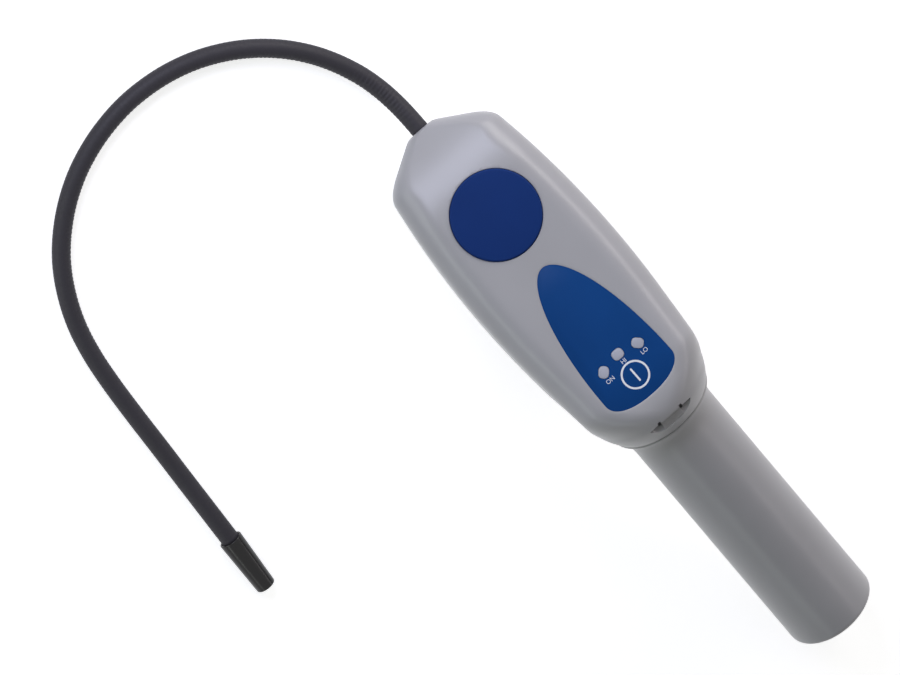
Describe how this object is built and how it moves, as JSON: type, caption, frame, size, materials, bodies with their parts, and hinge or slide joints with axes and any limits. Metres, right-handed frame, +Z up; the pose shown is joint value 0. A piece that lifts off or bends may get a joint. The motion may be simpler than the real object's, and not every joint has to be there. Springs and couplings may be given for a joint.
{
  "type": "refrigerant leak detector",
  "caption": "Hand-held refrigerant leak detector with a moulded head, an angled battery handle, a round push button and a flexible sampling probe.",
  "frame": {"origin": "middle of the head's and handle's bounding box, on the floor that the detector lies on", "axes": "+X from the nose to the handle's closed end, +Y to the side away from the probe's loop, +Z up from the floor"},
  "size_m": [0.3778, 0.2107, 0.0841],
  "materials": {
    "housing_grey": "satin",
    "button_blue": "satin",
    "film_blue": "semi-gloss",
    "lamp_clear": "translucent",
    "hose_rubber": "matte",
    "tip_black": "glossy",
    "inner_black": "matte",
    "board_green": "satin",
    "steel": "plated",
    "contact_brass": "bright",
    "cell_wrap": "gloss",
    "tube_clear": "satin",
    "filter_felt": "felt"
  },
  "bodies": {
    "head": {"front_housing": "housing_grey", "rear_housing": "housing_grey", "housing_screws": "steel", "keypad_overlay": "film_blue", "power_lamp": "lamp_clear", "high_lamp": "lamp_clear", "low_lamp": "lamp_clear", "circuit_board": "board_green", "board_screws": "steel", "button_switch": "inner_black", "power_switch": "inner_black", "beeper": "inner_black", "pump_head": "inner_black", "pump_motor": "steel", "pump_tube": "tube_clear", "battery_socket": "inner_black", "contact_plate": "contact_brass", "contact_ring": "contact_brass", "probe_ferrule": "contact_brass", "probe_hose": "hose_rubber", "sensor_socket": "inner_black", "sensor": "steel"},
    "button": {"sensitivity_button": "button_blue", "switch_plunger": "tube_clear"},
    "latch": {"battery_latch": "housing_grey"},
    "handle": {"battery_handle": "housing_grey", "battery_upper": "cell_wrap", "battery_lower": "cell_wrap", "battery_spring": "steel", "contact_strip": "contact_brass"},
    "tip": {"sensor_tip": "tip_black", "tip_filter": "filter_felt"}
  },
  "joints": [
    {"name": "button_press", "type": "slide", "parent": "head", "child": "button", "axis": [0.3584, 0, -0.9336], "range_m": [0, 0.0012], "stiffness_N_per_m": 2000},
    {"name": "latch_slide", "type": "slide", "parent": "head", "child": "latch", "axis": [-0.9336, 0, -0.3584], "range_m": [0, 0.0016], "stiffness_N_per_m": 1000},
    {"name": "handle_pull", "type": "slide", "parent": "head", "child": "handle", "axis": [0.9744, 0, -0.225], "range_m": [0, 0.06]},
    {"name": "tip_pull", "type": "slide", "parent": "head", "child": "tip", "axis": [0.9985, -0.0549, 0], "range_m": [0, 0.03]}
  ]
}
